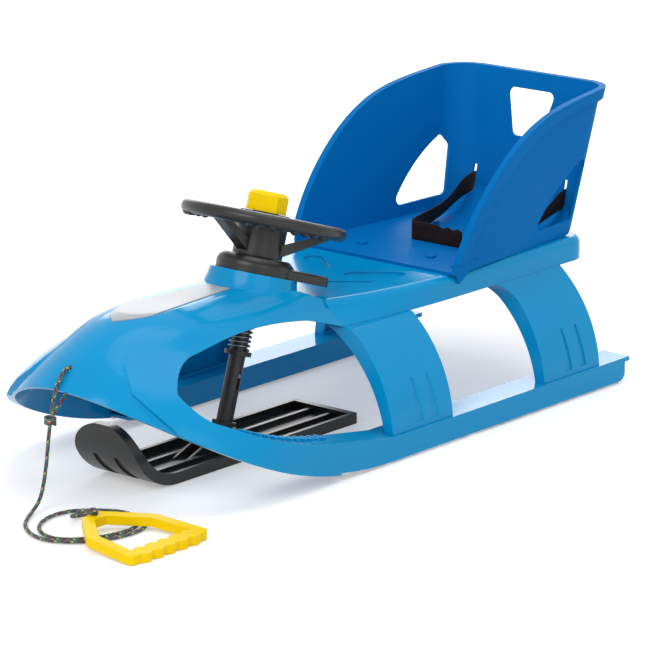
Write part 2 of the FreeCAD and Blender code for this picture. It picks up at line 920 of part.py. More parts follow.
def make_wheel():
    rim = Part.makeTorus(wheel_radius, rim_radius, V(0, 0, rim_level))
    hub = cylinder(hub_radius, hub_base(), hub_top())
    pieces = [hub] + [spoke(angle) for angle in (-90, 30, 150)]
    for start in (-60, 180):
        for index in range(grip_bump_count):
            angle = math.radians(start + index * 8.5)
            reach = wheel_radius
            spot = V(reach * math.cos(angle), reach * math.sin(angle), rim_level - rim_radius + 3)
            pieces.append(Part.makeSphere(grip_bump_radius, spot))
    wheel = rim.fuse(pieces).removeSplitter()
    bore = cylinder(shaft_radius + fastener_clearance, hub_base() - 1, hub_top() + 1)
    well = cylinder(hub_radius - 9, nut_seat(), hub_top() + 1)
    return steer(wheel.cut(bore).cut(well))


def make_nut():
    across = nut_across / 2 / math.cos(math.pi / 6)
    corners = [V(across * math.cos(math.radians(60 * k)), across * math.sin(math.radians(60 * k)), nut_seat())
               for k in range(6)]
    nut = polygon(corners).extrude(V(0, 0, nut_height))
    return steer(nut.cut(cylinder(shaft_radius + fastener_clearance, nut_seat() - 1, hub_top())))


def make_bezel():
    """Black ring on the hub that guides the button."""
    low = hub_top()
    guide = button_radius + 0.3
    ring = tube(bezel_radius, guide, low, low + bezel_height)
    return steer(ring)


def make_button():
    """Faceted horn button, hollow below, resting on its bellows."""
    low = hub_top() + button_travel + 0.5
    corners = []
    for k in range(button_facets):
        turn = math.radians(360 * (k + 0.5) / button_facets)
        corners.append(V(button_radius * math.cos(turn), button_radius * math.sin(turn), low))
    block = polygon(corners).extrude(V(0, 0, button_height))
    top = [edge for edge in block.Edges if edge.BoundBox.ZMin > low + button_height - 0.1]
    block = block.makeChamfer(button_chamfer, top)
    cavity = cylinder(bellows_radius + 2, low - 1, low + button_height - button_wall)
    return steer(block.cut(cavity))


def make_bellows():
    """Rubber squeaker between the hub's rim and the button's roof."""
    low = hub_top()
    high = low + button_travel + 0.5 + button_height - button_wall
    seat = hub_radius - 9
    squeaker = tube(bellows_radius, bellows_radius - 2, low, high)
    flange = tube(seat + 2, bellows_radius - 2, low, low + 1.5)
    return steer(squeaker.fuse(flange).removeSplitter())


# Column, spring and ski

def make_column():
    column = tube(column_radius, shaft_radius + running_clearance, column_bottom, column_top)
    reach = suspension_travel + pin_radius + 0.5
    half = pin_radius + running_clearance
    slot = box((-2 * column_radius, 2 * column_radius), (-half, half), (pin_level - reach, pin_level + half))
    foot = steer(column.cut(slot))
    ground = box((-100, 100), (at(0), at(ski_rear)), (-50, ski_floor + 2))
    bolt = column_bolt(column_bolt_radius + fastener_clearance, 60)
    return foot.cut(ground).cut(bolt)


def column_bolt_level():
    """Level of the cross bolt, which stays under the shaft's end when the column is pushed right up."""
    return shaft_bottom - suspension_travel - column_bolt_radius - column_bolt_room


def column_bolt(radius, length):
    """Cross bolt through the ski's socket and the column's foot."""
    level = column_bolt_level()
    return steer(Part.makeCylinder(radius, length, V(-length / 2, 0, level), V(1, 0, 0)))


def make_column_bolt():
    shank = column_bolt(column_bolt_radius, 2 * socket_radius + 6)
    heads = []
    level = column_bolt_level()
    for sign in (-1, 1):
        start = V(sign * socket_radius, 0, level)
        heads.append(steer(Part.makeCylinder(column_bolt_radius * 1.8, 3, start, V(sign, 0, 0))))
    return shank.fuse(heads).removeSplitter()


def make_collar():
    return steer(tube(collar_radius, column_radius, collar_level - collar_thickness / 2,
                      collar_level + collar_thickness / 2))


def arc_from_tangent(start, tangent, end):
    """Arc that leaves start along a tangent and reaches end."""
    chord = end - start
    along = V(chord).normalize()
    across = tangent - along * tangent.dot(along)
    half_turn = math.acos(max(-1.0, min(1.0, tangent.dot(along)))) / 2
    middle = (start + end) * 0.5 + across.normalize() * (chord.Length / 2 * math.tan(half_turn))
    return Part.Arc(start, middle, end).toShape()


def biarc(start, tangent_start, end, tangent_end):
    """Two arcs that meet smoothly between two points with given tangents."""
    gap = end - start
    total = tangent_start + tangent_end
    spread = 2 * (1 - tangent_start.dot(tangent_end))
    dot = gap.dot(total)
    reach = (-dot + math.sqrt(dot * dot + spread * gap.dot(gap))) / spread
    joint = (start + end + (tangent_start - tangent_end) * reach) * 0.5
    return [arc_from_tangent(start, tangent_start, joint),
            arc_from_tangent(end, tangent_end * -1, joint)]


def make_spring():
    """Coil spring from the collar up to the bush, one unbroken tube."""
    low = collar_level + collar_thickness / 2 + spring_wire_radius + 0.1
    high = bush_bottom - spring_wire_radius - 0.1
    quarters = int(round(spring_turns * 4))
    climb = (high - low) / quarters
    slope = climb / (math.pi / 2)

    def point(k):
        turn = math.pi / 2 * k
        return V(spring_mean_radius * math.cos(turn), spring_mean_radius * math.sin(turn), low + climb * k)

    def tangent(k):
        turn = math.pi / 2 * k
        flat = spring_mean_radius
        return V(-flat * math.sin(turn), flat * math.cos(turn), slope).normalize()

    edges = []
    for k in range(quarters):
        edges += biarc(point(k), tangent(k), point(k + 1), tangent(k + 1))
    path = Part.Wire(Part.__sortEdges__(edges))
    ring = Part.Wire(Part.makeCircle(spring_wire_radius, point(0), tangent(0)))
    spring = path.makePipeShell([ring], True, False)
    gap = 4 * climb * math.cos(math.atan2(slope, spring_mean_radius)) - 2 * spring_wire_radius
    print("spring: least gap between turns", round(gap, 2), "mm, volume over section times length",
          round(spring.Volume / (math.pi * spring_wire_radius ** 2 * path.Length), 4))
    return steer(Part.Solid(spring))


def ski_layer(thickness, x_from, x_to, front, rear):
    """Band of the ski's side outline: a flat floor with an upturned front."""
    radius = ski_bend_radius
    centre = side(ski_bend_station, radius)
    sweep = math.radians(ski_bend_angle)

    def on_arc(share, lift):
        angle = sweep * share
        return centre + V(0, -(radius - lift) * math.sin(angle), -(radius - lift) * math.cos(angle))

    edges = [
        line(side(rear, 0), on_arc(0, 0)),
        arc(on_arc(0, 0), on_arc(0.5, 0), on_arc(front, 0)),
        line(on_arc(front, 0), on_arc(front, thickness)),
        arc(on_arc(front, thickness), on_arc(0.5, thickness), on_arc(0, thickness)),
        line(on_arc(0, thickness), side(rear, thickness)),
        line(side(rear, thickness), side(rear, 0)),
    ]
    return side_prism(edges, x_from, x_to)


def tip_outline(inset):
    """Prism along the ski that rounds its upturned tip, seen from the front."""
    half = ski_half_width - inset
    peak = ski_bend_radius * (1 - math.cos(math.radians(ski_bend_angle))) - inset
    low = peak - ski_tip_round
    corner = V(half, at(0), low)
    turn = V(half * math.sqrt(0.5), at(0), low + ski_tip_round * math.sqrt(0.5))
    crown = V(0, at(0), peak)
    right = [corner, turn, crown]
    left = [V(-point.x, point.y, point.z) for point in right]
    base = [V(half, at(0), -1), V(-half, at(0), -1)]
    face = closed_face([arc(*right), arc(*left[::-1]), line(left[0], base[1]), line(base[1], base[0]),
                        line(base[0], right[0])])
    return face.extrude(V(0, ski_rear, 0))


def ski_tray():
    """Ski's floor with a rim all round, by a pocket in a thick layer."""
    half = ski_half_width
    thick = ski_layer(ski_rim_height, -half, half, 1.0, ski_rear).common(tip_outline(0))
    inner = half - ski_rim_width
    pocket = ski_layer(ski_rim_height + 1, -inner, inner, 1.0, ski_rear - ski_rear_rim)
    pocket = pocket.cut(ski_layer(ski_floor, -half, half, 1.0, ski_rear)).common(tip_outline(ski_rim_width))
    return thick.cut(pocket)


def make_ski():
    rib_middle = ski_half_width / 3
    pieces = [ski_tray()]
    pieces += both(ski_layer(ski_rib_height, rib_middle - ski_rib_width / 2, rib_middle + ski_rib_width / 2,
                             0.8, ski_rear))
    socket = steer(cylinder(socket_radius, column_bottom - 20, socket_top))
    above = box((-100, 100), (at(0), at(ski_rear)), (0, 200))
    pieces.append(socket.common(above))
    foot = socket_foot()
    gusset_top = axis_height + socket_top * math.cos(lean) - body_wall
    for offset in (-gusset_offset, gusset_offset):
        plate = [
            side(foot - gusset_reach, ski_floor - 1),
            side(foot + gusset_reach / 2, ski_floor - 1),
            side(foot + socket_radius, gusset_top),
            side(foot, gusset_top),
        ]
        face = polygon(plate)
        face.translate(V(offset - gusset_thickness / 2, 0, 0))
        pieces.append(face.extrude(V(gusset_thickness, 0, 0)))
    ski = fused(pieces)
    bore = steer(cylinder(column_radius + fastener_clearance, column_bottom - 30, socket_top + 1))
    bore = bore.common(box((-100, 100), (at(0), at(ski_rear)), (ski_floor + 2, 200)))
    bolt_hole = column_bolt(column_bolt_radius + fastener_clearance, 4 * socket_radius)
    groove_half = ski_groove_width / 2
    grooves = both(ski_layer(ski_groove_depth, rib_middle - groove_half, rib_middle + groove_half,
                             ski_groove_share, ski_rear))
    return largest(ski.cut(group([bore, bolt_hole] + grooves)).removeSplitter())


def socket_foot():
    """Station where the steering line meets the ski's floor."""
    return axis_station - (axis_height - ski_floor) * math.tan(lean)


# Seat

def seat_tub(inset, grow=0.0):
    """Tub that narrows toward a rounded back and leans outward and rearward with height."""
    wires = []
    for height in (deck_top + inset, seat_height + 30):
        lean_out = seat_side_lean * (height - deck_top) - inset + grow
        reach = seat_half_width + lean_out
        back_reach = seat_back_half_width + lean_out
        back = back_y(height) - inset + grow
        front = at(seat_tub_start)
        corner = seat_corner_radius - inset + grow
        cut = corner * (1 - math.sqrt(0.5))
        points = [V(-reach, front, height), V(reach, front, height), V(back_reach, back - corner, height),
                  V(back_reach - cut, back - cut, height), V(back_reach - corner, back, height),
                  V(corner - back_reach, back, height), V(cut - back_reach, back - cut, height),
                  V(-back_reach, back - corner, height)]
        wires.append(Part.Wire([
            line(points[0], points[1]), line(points[1], points[2]), arc(points[2], points[3], points[4]),
            line(points[4], points[5]), arc(points[5], points[6], points[7]), line(points[7], points[0])]))
    return Part.makeLoft(wires, True, True)


def back_y(height):
    """Y of the backrest's outer face at a height."""
    rise = height - deck_top - seat_heel_radius
    return at(seat_back_station) + rise * math.tan(math.radians(seat_back_lean))


def seat_side(inset, open_rim):
    """Side outline of the seat: floor, round heel, leaning back and swept wing rim."""
    floor = deck_top + inset
    radius = seat_heel_radius - inset
    tilt = math.radians(seat_back_lean)
    heel_centre = V(0, at(seat_back_station) - seat_heel_radius, deck_top + seat_heel_radius)

    def heel(angle):
        return heel_centre + V(0, radius * math.sin(angle), -radius * math.cos(angle))

    end = math.pi / 2 - tilt
    top = seat_height + open_rim
    foot = heel(end)
    lean_top = V(0, foot.y + (top - foot.z) * math.tan(tilt), top)
    front = side(seat_front - open_rim, floor)
    rim = [side(seat_front + back - open_rim, top - drop) for back, drop in wing_rim]
    wing_foot = side(seat_front - open_rim, deck_top + wing_foot_height)
    sweep = Part.BSplineCurve()
    sweep.interpolate([wing_foot] + rim)
    edges = [
        line(front, heel(0)),
        arc(heel(0), heel(end / 2), foot),
        line(foot, lean_top),
        line(lean_top, rim[-1]),
        sweep.toShape(),
        line(wing_foot, front),
    ]
    return side_prism(edges, -body_reach, body_reach)


def wing_window():
    """Rounded triangular opening in both wings, with a curved front edge."""
    low_front, low_rear, high_rear, high_front = [side(*spot) for spot in wing_window_corners]
    bow = side(*wing_window_bow)
    edges = [line(low_front, low_rear), line(low_rear, high_rear), line(high_rear, high_front),
             arc(high_front, bow, low_front)]
    prism = side_prism(edges, -body_reach, body_reach)
    corners = [edge for edge in prism.Edges if edge.BoundBox.XLength > body_reach]
    return prism.makeFillet(window_round, corners)


def back_window():
    """Rounded opening in the upper backrest, narrower below."""
    top = seat_height - back_window_drop
    low = top - back_window_height
    face = polygon([V(-back_window_low_half, 0, low), V(back_window_low_half, 0, low),
                    V(back_window_top_half, 0, top), V(-back_window_top_half, 0, top)])
    face.translate(V(0, at(seat_back_station) - seat_heel_radius, 0))
    prism = face.extrude(V(0, body_reach, 0))
    corners = [edge for edge in prism.Edges if edge.BoundBox.YLength > body_reach / 2]
    return prism.makeFillet(window_round, corners)


def belt_slots():
    slots = []
    for sign in (-1, 1):
        middle = sign * slot_offset
        slots.append(box((middle - slot_width / 2, middle + slot_width / 2),
                         (at(seat_back_station) - 60, at(seat_back_station) + 120), (slot_bottom, slot_top)))
    return slots


def seat_rim():
    """Lip turned outward along the backrest's top and both wing rims."""
    layer = seat_tub(0, seat_lip).cut(seat_tub(seat_wall))
    wide = (-body_reach, body_reach)
    rear = at(deck_rear) + body_reach
    turn = back_y(seat_height) - seat_corner_radius / 2
    back = box(wide, (turn, rear), (seat_height - seat_lip_height, seat_height))
    wings = seat_side(0, 0).cut(seat_side(0, -seat_lip_height))
    above = box(wide, (at(seat_front), rear), (deck_top + seat_lip_height, seat_height))
    return layer.common(wings.common(above).fuse(back))


def seat_tab():
    """Front corner of the right wing, which points down over the deck's edge."""
    front = at(seat_front)
    high = deck_top + seat_tab_drop
    face = polygon([V(0, front, high), V(0, front + seat_tab_drop, deck_top - seat_tab_drop),
                    V(0, front + 4 * seat_tab_drop, high)])
    face.translate(V(deck_half_width + fastener_clearance, 0, 0))
    return face.extrude(V(seat_wall, 0, 0))


def make_seat():
    outer = seat_tub(0).common(seat_side(0, 0))
    inner = seat_tub(seat_wall).common(seat_side(seat_wall, 40))
    shell = outer.cut(inner).fuse([seat_rim()] + both(seat_tab()))
    hole_radius = seat_bolt_radius + fastener_clearance
    holes = [Part.makeCylinder(hole_radius, 2 * body_wall, spot + V(0, 0, deck_top - 1))
             for spot in seat_bolt_spots()]
    return largest(shell.cut(group([wing_window(), back_window()] + belt_slots() + holes)).removeSplitter())


def make_seat_bolts():
    floor = deck_top + seat_wall
    bolts = []
    for spot in seat_bolt_spots():
        shank = Part.makeCylinder(seat_bolt_radius, floor - deck_under, spot + V(0, 0, deck_under))
        head = Part.makeCylinder(seat_bolt_head, 3, spot + V(0, 0, floor))
        bolts.append(shank.fuse(head).removeSplitter())
    return group(bolts)


def make_seat_nuts():
    under = deck_top - deck_plate
    nuts = []
    for spot in seat_bolt_spots():
        body = Part.makeCylinder(seat_bolt_head, 6, spot + V(0, 0, under - 6))
        hole = Part.makeCylinder(seat_bolt_radius + fastener_clearance, 20, spot + V(0, 0, under - 12))
        nuts.append(body.cut(hole))
    return group(nuts)


def make_strap(rows):
    """Belt strap: on edge through its slot, then twisting down towards the seat's floor."""
    wires = []
    for x, station, height, lean in rows:
        turn = math.radians(lean)
        centre = side(station, height) + V(x, 0, 0)
        flat = math.copysign(math.cos(turn), x)
        wide = V(flat, 0, math.sin(turn)) * (strap_width / 2)
        thin = V(-math.sin(turn), 0, flat) * (strap_thickness / 2)
        corners = [centre + wide + thin, centre + wide - thin, centre - wide - thin, centre - wide + thin]
        wires.append(Part.makePolygon(corners + [corners[0]]))
    return Part.makeLoft(wires, True, True)


def make_belt_end():
    """Hook-and-loop end of the left strap, standing on edge across the seat's floor."""
    x, station, height = left_strap_rows[-1][:3]
    low = height - strap_width / 2
    front = at(station) - soft_gap
    span = (x - strap_thickness, x + belt_end_length)
    return box(span, (front - belt_end_thickness, front), (low, low + strap_width))


# Tow rope and handle

def route_tube(name, points, radius):
    """Tube along straight runs joined by arcs as large as the runs allow."""
    edges = []
    last = points[0]
    radii = []
    for before, corner, after in zip(points, points[1:], points[2:]):
        back = before - corner
        ahead = after - corner
        turn = math.pi - back.getAngle(ahead)
        trim = 0.45 * min(back.Length, ahead.Length)
        radii.append(round(trim / math.tan(turn / 2), 1))
        entry = corner + V(back).normalize() * trim
        leave = corner + V(ahead).normalize() * trim
        inward = (V(back).normalize() + V(ahead).normalize()).normalize()
        bend = trim / math.tan(turn / 2)
        middle = corner + inward * (bend / math.cos(turn / 2) - bend)
        edges.append(line(last, entry))
        edges.append(arc(entry, middle, leave))
        last = leave
    edges.append(line(last, points[-1]))
    path = Part.Wire(edges)
    ring = Part.Wire(Part.makeCircle(radius, points[0], points[1] - points[0]))
    solid = Part.Solid(path.makePipeShell([ring], True, False))
    share = solid.Volume / (math.pi * radius ** 2 * path.Length)
    print(name, "length", round(path.Length, 1), "bend radii", radii, "volume share", round(share, 4))
    return solid


def rope_points(rows):
    """Route points from X, station and height."""
    return [V(x, at(station), height) for x, station, height in rows]


loop_route = [(0, -12, 121), (-1, -7, 138), (-1, -1, 155), (0, 8.5, 168), (0, 17.7, 175), (0, 27.7, 168.5),
              (0, 26, 156), (1, 14, 142), (1, -1, 129), (1, -10, 119)]
hang_route = [(0, -15.3, 107), (0, -18, 92), (1, -22, 70), (0, -25, 47), (-1, -29, 27), (0, -37, 12.5),
              (4, -53, 4.5), (14, -72, 3), (30, -94, 3), (50, -109, 3), (71, -119, 3), (93, -121, 3),
              (112, -113, 3), (127, -101, 3), (139, -86, 3), (148, -69, 3), (153, -50, 3), (155, -30, 3),
              (152, -11, 3), (143, 5, 3), (129, 15, 3), (112, 19, 3)]
return_route = [(112, 19, 3), (97.55, 22.4, 3), (80, 20, 3), (64, 10, 3), (49, -2, 3), (36, -16, 3),
                (30, -37, 3), (33, -59, 3), (42, -79, 3), (55, -95, 3), (72, -106, 3), (90, -110.5, 3),
                (106, -106, 3), (120, -94, 3), (131, -79, 3), (138, -62, 3), (142, -44, 3), (143.5, -26, 3),
                (139, -8, 3), (128, 4, 3), (114, 9, 3)]
end_route = [(114, 9, 3), (100, 14, 3), (84, 10, 3), (70, 0, 3), (60, -14, 3), (56, -30, 3.5), (61, -43, 7),
             (72, -51, 13), (84, -55, 20), (95, -55, 25), (105, -54, 26)]
knot_centre = (0, -14.5, 112)
tie_centre = (109, -53.5, 26.5)


def make_knot(centre, radius):
    """Tied knot: two fat turns and a core."""
    strand = 0.4 * radius
    turns = [Part.makeTorus(radius - strand, strand, centre + V(0, 0, rise), V(0.25, 0.35 * sign, 1))
             for rise, sign in ((-0.95 * strand, 1), (0.95 * strand, -1))]
    core = Part.makeSphere(radius - 0.3 * radius, centre)
    return core.fuse(turns).removeSplitter()


def handle_points():
    """Middle lines of the pull handle's bars in plan: rope side, slanted sides, legs and the grip."""
    points = []
    for sign in (-1, 1):
        rope_side = V(handle_rope_x, at(handle_station) + sign * handle_rope_half, 0)
        bend = V(handle_bend_x, at(handle_station) + sign * handle_bend_half, 0)
        grip_end = V(handle_grip_x, at(handle_station) + sign * handle_grip_half, 0)
        points += [rope_side, bend, grip_end][::sign]
    return points


def bar(a, b, width, low, high):
    """Straight bar with round ends, seen in plan between two points."""
    along = V(b - a).normalize()
    across = V(-along.y, along.x, 0) * (width / 2)
    solid = polygon([a + across, b + across, b - across, a - across]).extrude(V(0, 0, high - low))
    for end in (a, b):
        solid = solid.fuse(Part.makeCylinder(width / 2, high - low, end))
    solid.translate(V(0, 0, low))
    return solid


def make_handle():
    """Pull handle with a bumpy grip, tipped so that its rope side rests on the rope."""
    corners = handle_points()
    pieces = []
    for k in range(len(corners)):
        pieces.append(bar(corners[k - 1], corners[k], handle_bar_width, 0, handle_thickness))
    grip_start = V(handle_grip_x, at(handle_station) - handle_grip_half, 0)
    for k in range(grip_bumps):
        along = 2 * handle_grip_half * (k + 0.9) / (grip_bumps + 0.8)
        pieces.append(Part.makeCylinder(handle_bump_radius, handle_thickness, grip_start + V(0, along, 0)))
    handle = fused(pieces)
    edge = V(handle_grip_x + handle_bump_radius, 0, 0)
    handle.rotate(edge, V(0, 1, 0), handle_tip)
    return handle


def build():
    legs = {"front_leg": make_leg(front_leg_station, 0), "rear_leg": make_leg(rear_leg_station, leg_web)}
    pairs = dict(legs, runner=make_runner(), runner_strip=make_strip())
    for name, shape in pairs.items():
        export("right_" + name, shape)
        export("left_" + name, mirrored(shape))
    singles = {
        "nose_hood": make_nose_hood(), "nose_panel": make_nose_panel(), "deck": make_deck(),
        "strip_rivets": make_rivets(), "steering_base": make_base(), "base_screws": make_base_screws(),
        "left_belt_strap": make_strap(left_strap_rows), "right_belt_strap": make_strap(right_strap_rows),
        "steering_bush": make_bush(), "steering_shaft": make_shaft(), "column_pin": make_pin(),
        "steering_wheel": make_wheel(), "wheel_nut": make_nut(), "horn_bezel": make_bezel(),
        "horn_button": make_button(), "horn_bellows": make_bellows(), "column_tube": make_column(),
        "column_bolt": make_column_bolt(), "spring_collar": make_collar(), "coil_spring": make_spring(),
        "ski": make_ski(), "seat_shell": make_seat(), "seat_bolts": make_seat_bolts(),
        "seat_nuts": make_seat_nuts(), "belt_end": make_belt_end(),
        "rope_knot": make_knot(rope_points([knot_centre])[0], knot_radius),
        "rope_tie": make_knot(rope_points([tie_centre])[0], tie_radius),
        "rope_loop": route_tube("rope_loop", rope_points(loop_route), rope_radius),
        "tow_rope": route_tube("tow_rope", rope_points(hang_route), rope_radius),
        "rope_return": route_tube("rope_return", rope_points(return_route), rope_radius),
        "rope_end": route_tube("rope_end", rope_points(end_route), rope_radius),
        "pull_handle": make_handle(),
    }
    for name, shape in singles.items():
        export(name, shape)


build()
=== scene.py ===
import json
import math

import bmesh
import bpy
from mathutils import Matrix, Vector


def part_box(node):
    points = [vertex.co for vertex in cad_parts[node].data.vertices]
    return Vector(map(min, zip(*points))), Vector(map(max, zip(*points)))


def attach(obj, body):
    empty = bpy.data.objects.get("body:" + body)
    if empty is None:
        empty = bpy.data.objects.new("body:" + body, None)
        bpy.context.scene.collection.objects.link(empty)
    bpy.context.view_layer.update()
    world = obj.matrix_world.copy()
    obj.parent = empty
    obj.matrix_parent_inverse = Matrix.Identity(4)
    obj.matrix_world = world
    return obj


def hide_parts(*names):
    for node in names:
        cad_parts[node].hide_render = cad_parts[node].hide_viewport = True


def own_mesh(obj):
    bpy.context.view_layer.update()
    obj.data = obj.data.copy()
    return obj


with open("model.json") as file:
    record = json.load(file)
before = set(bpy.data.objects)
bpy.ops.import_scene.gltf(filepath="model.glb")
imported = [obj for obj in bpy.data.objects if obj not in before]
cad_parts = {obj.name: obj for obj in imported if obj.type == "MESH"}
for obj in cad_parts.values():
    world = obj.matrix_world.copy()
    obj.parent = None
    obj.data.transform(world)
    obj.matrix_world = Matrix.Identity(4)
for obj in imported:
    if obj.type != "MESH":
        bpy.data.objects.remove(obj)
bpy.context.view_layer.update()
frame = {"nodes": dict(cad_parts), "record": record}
nodes = frame["nodes"]

# Camera: lengths in metres, lens and sensor in millimetres.
camera_azimuth = math.radians(40.134)
camera_elevation = math.radians(14.943)
camera_distance = 5.2205
camera_target = Vector((0.00167, 0.02128, 0.128))
camera_lens = 216.1
camera_sensor = 36
camera_reach = 50

# Finishes: depths and edge widths in metres. A range is the part of a noise's values that shows.
noise_range = (0.3, 0.7)
# Cosine between the plain and the rounded normal where wear starts and where it is full.
edge_cosines = (0.995, 0.9)
edge_samples = 4

# Moulded plastic
plastic_ior = 1.49
worn_edge = 0.0012
worn_share = 0.22
deep_share = 0.95
rub_stretch = (1.0, 0.08, 1.0)
rub_range = (0.56, 0.74)
rub_share = 0.02
rub_roughness = 0.03
rough_spread = 0.03
grain_strength = 0.5
wave_depth = 0.0008
wave_strength = 0.12

# Bare metal, with the edge colour as linear values
draw_stretch = (1.0, 0.05, 1.0)
draw_depth = 0.00012
draw_strength = 0.4
metal_smoother, metal_rougher = 0.08, 0.1
metal_edge = 0.0006
metal_edge_share = 0.4
metal_edge_colour = (0.9, 0.9, 0.9, 1.0)

# Coated metal
coat_metallic = 0.2
coat_smoother, coat_rougher = 0.06, 0.08
coat_edge = 0.0008
coat_edge_share = 0.35
coat_edge_colour = (130, 130, 128)
spot_range = (0.62, 0.75)
spot_share = 0.25
spot_colour = (120, 120, 118)
peel_depth = 0.00015
peel_strength = 0.5

# Webbing
cloth_sheen = 0.05
cloth_sheen_rough = 0.5
cloth_shine = 0.15
cloth_rough = (0.7, 0.92)
rib_distortion = 0.4
pick_distortion = 0.6
pick_ratio = 1.4
weave_share = 0.8
weave_depth = 0.0006
weave_strength = 0.8
patch_range = (0.35, 0.7)
patch_share = 0.35
fuzz_depth = 0.0002
fuzz_strength = 0.5

# Yarn
yarn_sheen = 0.3
yarn_rough = (0.6, 0.85)
fibre_range = (0.35, 0.7)
fibre_depth = 0.0002
fibre_strength = 0.6

# Materials, with colours as 0-255 screen values.
# Plain colour, worn colour, roughness, grain depth, grain scale and level of shine.
plastics = {
    "body_blue": ((0, 148, 206), (90, 190, 228), 0.15, 0.00004, 900, 0.17),
    "seat_blue": ((0, 112, 186), (40, 140, 206), 0.55, 0.00014, 700, 0.04),
    "black_plastic": ((30, 30, 29), (86, 86, 84), 0.34, 0.00016, 800, 0.45),
    "yellow_plastic": ((253, 214, 0), (255, 232, 110), 0.34, 0.0001, 900, 0.1),
    "silver_panel": ((172, 178, 184), (206, 211, 216), 0.3, 0.00005, 1200, 0.12),
    "bellows_rubber": ((26, 26, 26), (60, 60, 60), 0.6, 0.0002, 700, 0.1),
}
# Bright colour, dull colour and roughness.
metals = {
    "spring_steel": ((150, 150, 152), (96, 96, 98), 0.34),
    "zinc_steel": ((205, 206, 208), (160, 161, 163), 0.3),
}
# Plain colour, pale colour and roughness.
coats = {"black_metal": ((34, 34, 34), (48, 48, 47), 0.38)}
# Deep colour, pale colour and scale of the ribs.
cloths = {"webbing": ((16, 5, 5), (42, 20, 18), 220)}
# Deep colour and pale colour. The rope's faces count the yarns in this order.
yarns = {
    "yarn_blue": ((26, 36, 60), (62, 78, 112)),
    "yarn_grey": ((56, 64, 74), (112, 122, 132)),
    "yarn_red": ((130, 24, 40), (176, 66, 72)),
    "yarn_yellow": ((190, 160, 60), (220, 196, 110)),
    "yarn_green": ((16, 104, 90), (60, 150, 128)),
}

# Rope: lengths in metres, and shares of its radius.
rope_diameter = 0.0052
braid_pitch = 0.02
braid_strands = 4
yarn_sides = 6
yarn_wide_share = 0.42
yarn_thick_share = 0.14
yarn_lift_share = 0.12
core_share = 0.66
core_yarn = "yarn_blue"
# Yarns of the strands that wind one way, and of those that wind the other way.
braid_yarns = (("yarn_blue", "yarn_red", "yarn_green", "yarn_yellow"),
               ("yarn_blue", "yarn_green", "yarn_blue", "yarn_grey"))
# Piece, node and turns of each knot. A knot starts at an angle in radians and rises by a share of its node's
# height.
knot_rows = (("rope_knot_turns", "rope_knot", 2.5), ("rope_tie_turns", "rope_tie", 1.75))
knot_start = 0.6
knot_rise_share = 0.5
knot_points_per_turn = 12

# Routes: X, station and height in millimetres. Stations count from the nose tip, as in the part's source.
origin_station = 490.6
loop_route = [(0, -12, 121), (-1, -7, 138), (-1, -1, 155), (0, 8.5, 168), (0, 17.7, 175), (0, 27.7, 168.5),
              (0, 26, 156), (1, 14, 142), (1, -1, 129), (1, -10, 119)]
tow_route = [(0, -15.3, 107), (0, -18, 92), (1, -22, 70), (0, -25, 47), (-1, -29, 27), (0, -37, 12.5),
             (4, -53, 4.5), (14, -72, 3), (30, -94, 3), (50, -109, 3), (71, -119, 3), (93, -121, 3),
             (112, -113, 3), (127, -101, 3), (139, -86, 3), (148, -69, 3), (153, -50, 3), (155, -30, 3),
             (152, -11, 3), (143, 5, 3), (129, 15, 3), (112, 19, 3),
             (97.55, 22.4, 3), (80, 20, 3), (64, 10, 3), (49, -2, 3), (36, -16, 3),
             (30, -37, 3), (33, -59, 3), (42, -79, 3), (55, -95, 3), (72, -106, 3), (90, -110.5, 3),
             (106, -106, 3), (120, -94, 3), (131, -79, 3), (138, -62, 3), (142, -44, 3), (143.5, -26, 3),
             (139, -8, 3), (128, 4, 3), (114, 9, 3),
             (100, 14, 3), (84, 10, 3), (70, 0, 3), (60, -14, 3), (56, -30, 3.5), (61, -43, 7),
             (72, -51, 13), (84, -55, 20), (95, -55, 25), (105, -54, 26)]
# The belt's rows have a fourth value, the lean of the webbing's width in degrees.
left_belt_rows = [(-82, 946, 240, 90), (-82, 925, 238, 92), (-77, 895, 230, 104), (-67, 865, 223, 112),
                  (-55, 825, 219, 114), (-43, 785, 218, 108), (-34, 752, 217, 98), (-28, 733, 215.4, 90),
                  (-22, 728, 215.4, 90), (-10, 729.5, 215.4, 90), (20, 729.5, 215.4, 90),
                  (45, 729.5, 215.4, 90), (62, 729.5, 215.4, 90)]
right_belt_rows = [(82, 946, 240, 90), (82, 925, 237, 88), (85, 895, 228, 66), (88, 865, 220, 58),
                   (88, 835, 214.5, 42), (84, 800, 209, 20), (80, 765, 206, 10)]
spline_order = 3
# Points of each spline per route point.
loop_steps = 20
tow_steps = 22
knot_steps = 5
strap_steps = 10

# Belt, in metres
strap_width = 0.026
strap_thickness = 0.002
strap_columns = 5
scallop_start = 0.27
scallop_pitch = 0.017
scallop_depth = 0.0035

# Width of the rounded edges of each moulded material, in metres.
edge_rounds = {"body_blue": 0.0016, "seat_blue": 0.0014, "black_plastic": 0.001, "yellow_plastic": 0.0014,
               "silver_panel": 0.0003}
weld_reach = 0.00001
round_segments = 2
sharp_angle = math.radians(35)

# Spring and bellows, in metres
# Node, joint, level of the held end along the steering axis, free length and the joint's travel.
squashed_nodes = [("coil_spring", "ski_suspension", -0.1269, 0.0648, 0.015),
                  ("horn_bellows", "horn_press", 0.0444, 0.0285, 0.004)]

# Floor and light, in metres. The floor glows a little where it is seen, and more with distance from the part.
white = (1.0, 1.0, 1.0, 1.0)
floor_size = 40
floor_level = -0.0005
floor_colour = (0.82, 0.82, 0.82, 1.0)
glow_from, glow_to = 0.9, 3.5
glow_near, glow_far = 0.32, 0.64
world_light, world_seen = 0.62, 1.0
